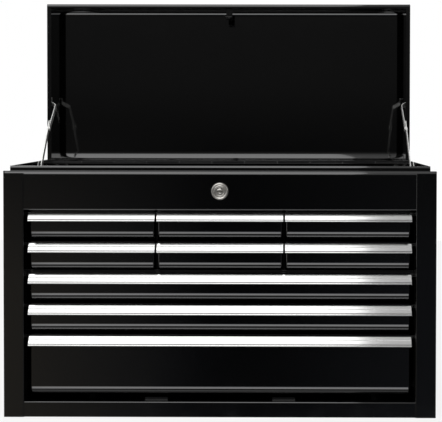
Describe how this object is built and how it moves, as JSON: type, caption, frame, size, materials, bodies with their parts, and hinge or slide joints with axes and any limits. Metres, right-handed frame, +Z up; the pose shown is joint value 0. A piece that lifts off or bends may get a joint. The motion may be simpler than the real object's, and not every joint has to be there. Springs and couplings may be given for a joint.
{
  "type": "tool chest",
  "caption": "Wide sheet-metal tool chest with a lift-up lid over a top tray, locking header, stacked drawers with full-width finger pulls, folding lid stays and drop side handles.",
  "frame": {"origin": "middle of the base, on the surface that the chest stands on", "axes": "+X to the right seen from the front, -Y out of the front, +Z up"},
  "size_m": [0.69, 0.3519, 0.6664],
  "materials": {
    "case_paint": "black gloss powder coat",
    "pull_metal": "bright satin",
    "lock_metal": "polished",
    "stay_steel": "zinc plated",
    "hinge_steel": "black",
    "handle_chrome": "polished",
    "mat_rubber": "ribbed matt"
  },
  "bodies": {
    "cabinet": {"left_side_panel": "case_paint", "right_side_panel": "case_paint", "back_panel": "case_paint", "bottom_panel": "case_paint", "header_panel": "case_paint", "tray_floor": "case_paint", "tray_liner": "mat_rubber", "left_runner_frame": "case_paint", "right_runner_frame": "case_paint", "left_divider": "case_paint", "right_divider": "case_paint", "divider_shelf": "case_paint", "lock_cylinder": "lock_metal", "lock_nut": "stay_steel", "hinge_case_leaf": "hinge_steel", "hinge_case_rivets": "hinge_steel", "hinge_pin": "stay_steel", "stay_foot_studs": "stay_steel", "left_handle_brackets": "handle_chrome", "right_handle_brackets": "handle_chrome"},
    "lid": {"lid_shell": "case_paint", "lid_striker": "case_paint", "hinge_lid_leaf": "hinge_steel", "hinge_lid_rivets": "hinge_steel", "stay_top_studs": "stay_steel"},
    "lock": {"lock_plug": "lock_metal", "lock_cam": "stay_steel"},
    "left_lower_link": {"left_stay_lower_link": "stay_steel"},
    "left_upper_link": {"left_stay_upper_link": "stay_steel"},
    "right_lower_link": {"right_stay_lower_link": "stay_steel"},
    "right_upper_link": {"right_stay_upper_link": "stay_steel"},
    "left_handle": {"left_handle_bail": "handle_chrome"},
    "right_handle": {"right_handle_bail": "handle_chrome"},
    "upper_left_drawer_body": {"upper_left_drawer": "case_paint", "upper_left_pull": "pull_metal", "upper_left_liner": "mat_rubber"},
    "upper_middle_drawer_body": {"upper_middle_drawer": "case_paint", "upper_middle_pull": "pull_metal", "upper_middle_liner": "mat_rubber"},
    "upper_right_drawer_body": {"upper_right_drawer": "case_paint", "upper_right_pull": "pull_metal", "upper_right_liner": "mat_rubber"},
    "second_left_drawer_body": {"second_left_drawer": "case_paint", "second_left_pull": "pull_metal", "second_left_liner": "mat_rubber"},
    "second_middle_drawer_body": {"second_middle_drawer": "case_paint", "second_middle_pull": "pull_metal", "second_middle_liner": "mat_rubber"},
    "second_right_drawer_body": {"second_right_drawer": "case_paint", "second_right_pull": "pull_metal", "second_right_liner": "mat_rubber"},
    "third_drawer_body": {"third_drawer": "case_paint", "third_pull": "pull_metal", "third_liner": "mat_rubber"},
    "fourth_drawer_body": {"fourth_drawer": "case_paint", "fourth_pull": "pull_metal", "fourth_liner": "mat_rubber"},
    "deep_drawer_body": {"deep_drawer": "case_paint", "deep_pull": "pull_metal", "deep_liner": "mat_rubber"}
  },
  "joints": [
    {"name": "lid_hinge", "type": "hinge", "parent": "cabinet", "child": "lid", "pos_m": [0, 0.1453, 0.3781], "axis": [1, 0, 0], "range_deg": [0, 90]},
    {"name": "left_lower_link_hinge", "type": "hinge", "parent": "cabinet", "child": "left_lower_link", "pos_m": [-0.3177, 0.038, 0.3651], "axis": [1, 0, 0], "range_deg": [0, 116]},
    {"name": "left_upper_link_hinge", "type": "hinge", "parent": "lid", "child": "left_upper_link", "pos_m": [-0.3288, 0.1623, 0.4931], "axis": [1, 0, 0], "range_deg": [-124, 0]},
    {"name": "right_lower_link_hinge", "type": "hinge", "parent": "cabinet", "child": "right_lower_link", "pos_m": [0.3177, 0.038, 0.3651], "axis": [1, 0, 0], "range_deg": [0, 116]},
    {"name": "right_upper_link_hinge", "type": "hinge", "parent": "lid", "child": "right_upper_link", "pos_m": [0.3288, 0.1623, 0.4931], "axis": [1, 0, 0], "range_deg": [-124, 0]},
    {"name": "lock_turn", "type": "hinge", "parent": "cabinet", "child": "lock", "pos_m": [0, -0.13, 0.3459], "axis": [0, 1, 0], "range_deg": [0, 90]},
    {"name": "upper_left_slide", "type": "slide", "parent": "cabinet", "child": "upper_left_drawer_body", "axis": [0, -1, 0], "range_m": [0, 0.2]},
    {"name": "upper_middle_slide", "type": "slide", "parent": "cabinet", "child": "upper_middle_drawer_body", "axis": [0, -1, 0], "range_m": [0, 0.2]},
    {"name": "upper_right_slide", "type": "slide", "parent": "cabinet", "child": "upper_right_drawer_body", "axis": [0, -1, 0], "range_m": [0, 0.2]},
    {"name": "second_left_slide", "type": "slide", "parent": "cabinet", "child": "second_left_drawer_body", "axis": [0, -1, 0], "range_m": [0, 0.2]},
    {"name": "second_middle_slide", "type": "slide", "parent": "cabinet", "child": "second_middle_drawer_body", "axis": [0, -1, 0], "range_m": [0, 0.2]},
    {"name": "second_right_slide", "type": "slide", "parent": "cabinet", "child": "second_right_drawer_body", "axis": [0, -1, 0], "range_m": [0, 0.2]},
    {"name": "third_slide", "type": "slide", "parent": "cabinet", "child": "third_drawer_body", "axis": [0, -1, 0], "range_m": [0, 0.2]},
    {"name": "fourth_slide", "type": "slide", "parent": "cabinet", "child": "fourth_drawer_body", "axis": [0, -1, 0], "range_m": [0, 0.2]},
    {"name": "deep_slide", "type": "slide", "parent": "cabinet", "child": "deep_drawer_body", "axis": [0, -1, 0], "range_m": [0, 0.2]},
    {"name": "left_handle_swing", "type": "hinge", "parent": "cabinet", "child": "left_handle", "pos_m": [-0.339, 0, 0.24], "axis": [0, 1, 0], "range_deg": [0, 90]},
    {"name": "right_handle_swing", "type": "hinge", "parent": "cabinet", "child": "right_handle", "pos_m": [0.339, 0, 0.24], "axis": [0, -1, 0], "range_deg": [0, 90]}
  ],
  "couplings": [
    {"joint": "left_lower_link_hinge", "follows": "lid_hinge", "ratio": 1.2875},
    {"joint": "left_upper_link_hinge", "follows": "lid_hinge", "ratio": -1.3672},
    {"joint": "right_lower_link_hinge", "follows": "lid_hinge", "ratio": 1.2875},
    {"joint": "right_upper_link_hinge", "follows": "lid_hinge", "ratio": -1.3672}
  ]
}
